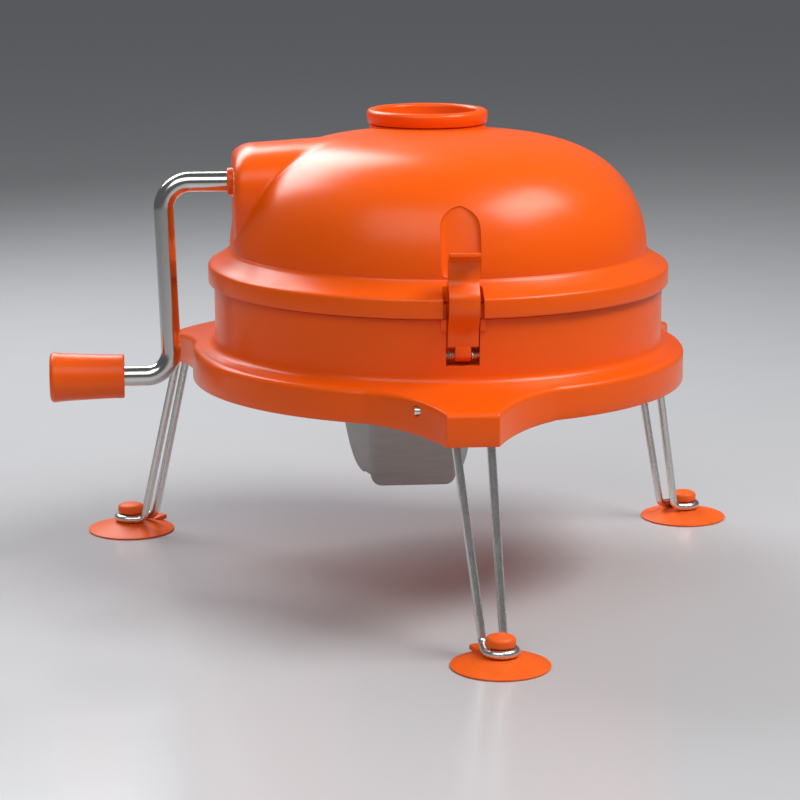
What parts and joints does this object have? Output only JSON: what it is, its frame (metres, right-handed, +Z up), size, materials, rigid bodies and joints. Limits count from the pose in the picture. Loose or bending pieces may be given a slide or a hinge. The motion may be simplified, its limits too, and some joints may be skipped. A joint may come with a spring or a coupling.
{
  "type": "hand cranked vegetable cutter",
  "caption": "Domed hand-cranked vegetable cutter on sprung wire legs with suction cups, with a hinged cover, feed cup, cutting disc and side crank.",
  "frame": {"origin": "centre of the assembly's bounding box on the table; the body axis stands 16.7 mm to +X and 42.5 mm to +Y of it", "axes": "+Z up, front with the latch at -Y, cover hinge at +Y, crank shaft along -X"},
  "size_m": [0.438, 0.391, 0.2772],
  "materials": {
    "bracket_alloy": "die-cast aluminium, satin",
    "bronze": "sintered bronze",
    "gear_alloy": "sintered steel, satin grey",
    "nylon": "natural nylon",
    "orange_plastic": "satin-gloss orange ABS, injection moulded",
    "orange_rubber": "soft satin orange rubber",
    "polished_steel": "polished stainless steel",
    "sheet_steel": "brushed stainless sheet",
    "steel_wire": "drawn stainless wire, dull"
  },
  "bodies": {
    "base": {"base_housing": "orange_plastic", "discharge_guide": "sheet_steel", "guide_screw_1": "steel_wire", "guide_screw_2": "steel_wire", "latch_pin": "steel_wire", "latch_spring_left": "steel_wire", "latch_spring_right": "steel_wire", "cover_hinge_pin": "steel_wire"},
    "cover": {"dome_cover": "orange_plastic", "gear_carrier": "bracket_alloy", "carrier_screw_1": "steel_wire", "carrier_screw_2": "steel_wire", "carrier_screw_3": "steel_wire", "carrier_screw_4": "steel_wire", "outer_bush": "bronze", "inner_bush": "bronze", "lower_spindle_bush": "bronze", "upper_spindle_bush": "bronze"},
    "crank": {"crank_rod": "polished_steel", "bevel_pinion": "gear_alloy", "pinion_pin": "steel_wire"},
    "grip": {"crank_grip": "orange_plastic", "grip_screw": "steel_wire"},
    "disc": {"cutter_disc": "sheet_steel", "spindle": "steel_wire", "bevel_gear": "gear_alloy", "gear_pin": "steel_wire", "disc_nut": "nylon", "slicing_blade_1": "polished_steel", "slicing_blade_2": "polished_steel", "slicing_blade_3": "polished_steel", "blade_screw_1_inner": "steel_wire", "blade_screw_1_outer": "steel_wire", "blade_screw_2_inner": "steel_wire", "blade_screw_2_outer": "steel_wire", "blade_screw_3_inner": "steel_wire", "blade_screw_3_outer": "steel_wire"},
    "feed_cup": {"feed_cup": "orange_plastic"},
    "latch": {"latch": "orange_plastic"},
    "leg_front": {"leg_front": "steel_wire", "cup_front": "orange_rubber"},
    "leg_left": {"leg_left": "steel_wire", "cup_left": "orange_rubber"},
    "leg_right": {"leg_right": "steel_wire", "cup_right": "orange_rubber"}
  },
  "joints": [
    {"name": "cover_hinge", "type": "hinge", "parent": "base", "child": "cover", "pos_m": [0.01672, 0.1905, 0.183], "axis": [-1, 0, 0], "range_deg": [0, 95]},
    {"name": "crank_turn", "type": "hinge", "parent": "cover", "child": "crank", "pos_m": [0.01672, 0.0425, 0.24], "axis": [-1, 0, 0], "continuous": true},
    {"name": "disc_turn", "type": "hinge", "parent": "cover", "child": "disc", "pos_m": [0.01672, 0.0425, 0.175], "axis": [0, 0, 1], "continuous": true},
    {"name": "grip_spin", "type": "hinge", "parent": "crank", "child": "grip", "pos_m": [-0.17428, 0.0425, 0.122], "axis": [-1, 0, 0], "continuous": true},
    {"name": "feed_cup_slide", "type": "slide", "parent": "cover", "child": "feed_cup", "axis": [0, 0, 1], "range_m": [0, 0.1]},
    {"name": "latch_pivot", "type": "hinge", "parent": "base", "child": "latch", "pos_m": [0.01672, -0.0896, 0.1575], "axis": [1, 0, 0], "range_deg": [0, 70], "stiffness_Nm_per_rad": 0.03, "springref_deg": -20.05},
    {"name": "leg_front_fold", "type": "hinge", "parent": "base", "child": "leg_front", "pos_m": [0.01672, -0.1205, 0.1328], "axis": [1, 0, 0], "range_deg": [0, 55]},
    {"name": "leg_left_fold", "type": "hinge", "parent": "base", "child": "leg_left", "pos_m": [-0.12639, 0.12052, 0.1328], "axis": [-0.4787, -0.878, 0], "range_deg": [0, 55]},
    {"name": "leg_right_fold", "type": "hinge", "parent": "base", "child": "leg_right", "pos_m": [0.15185, 0.13365, 0.1328], "axis": [-0.5592, 0.829, 0], "range_deg": [0, 55]}
  ],
  "couplings": [
    {"joint": "disc_turn", "follows": "crank_turn", "ratio": 0.66667}
  ]
}
